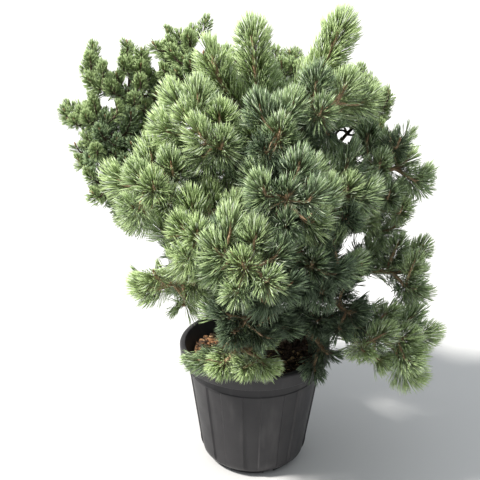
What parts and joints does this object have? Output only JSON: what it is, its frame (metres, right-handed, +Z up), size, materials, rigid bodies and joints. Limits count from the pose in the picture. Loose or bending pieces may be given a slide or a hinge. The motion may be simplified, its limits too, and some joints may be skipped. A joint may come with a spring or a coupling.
{
  "type": "potted negishi japanese white pine",
  "caption": "Dwarf white pine with tufts of needles on spreading boughs, growing in a dark round nursery pot that stands on its flat foot.",
  "frame": {"origin": "centre of the pot's flat underside, on the surface it stands on", "axes": "+Z up along the pot's axis; +Y away from the viewer of the picture; +X to the viewer's right"},
  "size_m": [0.6097, 0.5364, 0.7333],
  "materials": {
    "pot_plastic": "satin, moulded",
    "bark_mulch": "rough, crumbled",
    "pine_bark": "rough bark",
    "pine_needles": "satin needles"
  },
  "bodies": {
    "root": {"pot": "pot_plastic", "soil": "bark_mulch", "trunk": "pine_bark", "bough_left_upper": "pine_bark", "bough_left_far": "pine_bark", "bough_left_middle": "pine_bark", "bough_front_high": "pine_bark", "bough_front_middle": "pine_bark", "bough_right_front": "pine_bark", "bough_right_arch": "pine_bark", "bough_right_middle": "pine_bark", "bough_front_low_right": "pine_bark", "bough_right_low": "pine_bark", "bough_left_low": "pine_bark", "bough_front_low": "pine_bark", "bough_front_rim": "pine_bark", "bough_right_inner": "pine_bark", "bough_right_rim": "pine_bark", "bough_right_end": "pine_bark", "bough_rear_left_top": "pine_bark", "bough_rear_left_side": "pine_bark", "bough_rear_left_low": "pine_bark", "bough_rear_left_crest": "pine_bark", "bough_rear_crest": "pine_bark", "bough_rear_right": "pine_bark", "bough_rear_middle": "pine_bark", "bough_rear_low": "pine_bark", "bough_rear_low_left": "pine_bark", "bough_rear_low_right": "pine_bark", "mass_leader_left": "pine_needles", "mass_leader_right": "pine_needles", "mass_crown_left": "pine_needles", "mass_crown_right": "pine_needles", "mass_upper_front": "pine_needles", "mass_left_upper": "pine_needles", "mass_left_far": "pine_needles", "mass_left_middle": "pine_needles", "mass_front_high": "pine_needles", "mass_front_middle": "pine_needles", "mass_right_front": "pine_needles", "mass_right_arch": "pine_needles", "mass_right_middle": "pine_needles", "mass_front_low_right": "pine_needles", "mass_right_low": "pine_needles", "mass_left_low": "pine_needles", "mass_front_low": "pine_needles", "mass_front_rim": "pine_needles", "mass_right_inner": "pine_needles", "mass_right_rim": "pine_needles", "mass_right_end": "pine_needles", "mass_rear_left_top": "pine_needles", "mass_rear_left_side": "pine_needles", "mass_rear_left_low": "pine_needles", "mass_rear_left_crest": "pine_needles", "mass_rear_crest": "pine_needles", "mass_rear_right": "pine_needles", "mass_rear_middle": "pine_needles", "mass_rear_low": "pine_needles", "mass_rear_low_left": "pine_needles", "mass_rear_low_right": "pine_needles"}
  },
  "joints": []
}
